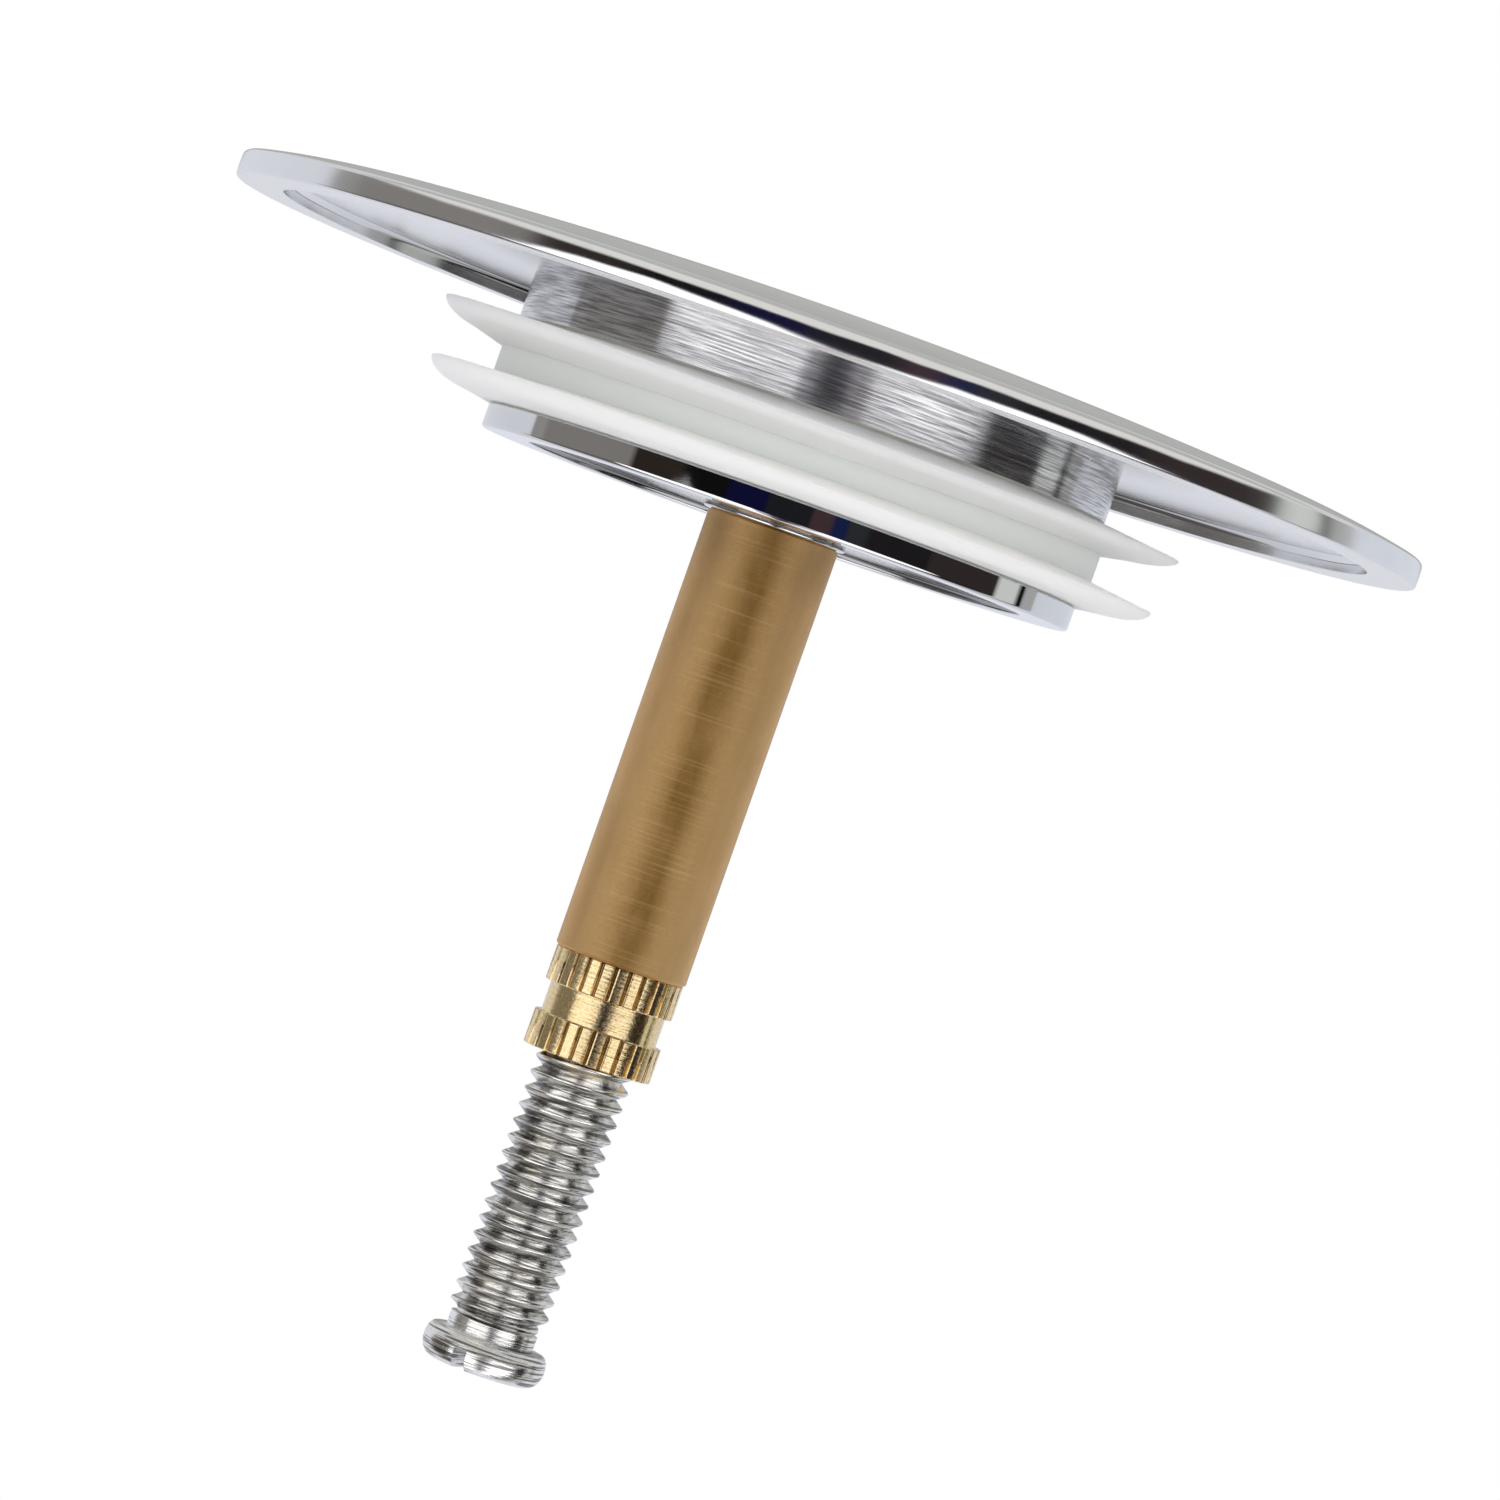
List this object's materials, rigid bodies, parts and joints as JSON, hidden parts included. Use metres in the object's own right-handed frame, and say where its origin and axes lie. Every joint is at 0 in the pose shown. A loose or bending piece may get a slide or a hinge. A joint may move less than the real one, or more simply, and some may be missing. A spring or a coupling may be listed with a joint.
{
  "type": "pop-up bath plug",
  "caption": "Domed chrome bath plug with a two-fin seal on a brass stem; a slotted screw and knurled locknut set how far it drops into the waste.",
  "frame": {"origin": "on the plug's axis, in the plane of the cap rim's underside, which lies on the waste's top face when the plug is shut", "axes": "+Z along the axis, up out of the drain; X and Y are free, because only the screw's slot and the knurl break the round shape"},
  "size_m": [0.0728, 0.0728, 0.0649],
  "materials": {
    "cap_chrome": "polished",
    "turned_chrome": "turned, with fine rings",
    "flange_chrome": "polished",
    "seal_silicone": "satin, slightly see-through",
    "stem_brass": "dull turned",
    "nut_brass": "bright turned",
    "screw_steel": "plain zinc or stainless"
  },
  "bodies": {
    "head": {"cap": "cap_chrome", "hub": "turned_chrome", "retaining_flange": "flange_chrome", "flange_washer": "flange_chrome", "centre_stud": "screw_steel", "stem": "stem_brass"},
    "seal": {"seal": "seal_silicone"},
    "screw": {"adjusting_screw": "screw_steel"},
    "locknut": {"locknut": "nut_brass"}
  },
  "joints": [
    {"name": "height_turn", "type": "hinge", "parent": "head", "child": "seal", "pos_m": [0, 0, -0.005], "axis": [0, 0, 1], "range_deg": [-2520, 2880]},
    {"name": "height_feed", "type": "slide", "parent": "seal", "child": "screw", "axis": [0, 0, 1], "range_m": [-0.007, 0.008]},
    {"name": "locknut_travel", "type": "slide", "parent": "head", "child": "locknut", "axis": [0, 0, 1], "range_m": [-0.008, 0]}
  ],
  "couplings": [
    {"joint": "height_turn", "follows": "height_feed", "rad_per_m": 6283.2}
  ]
}
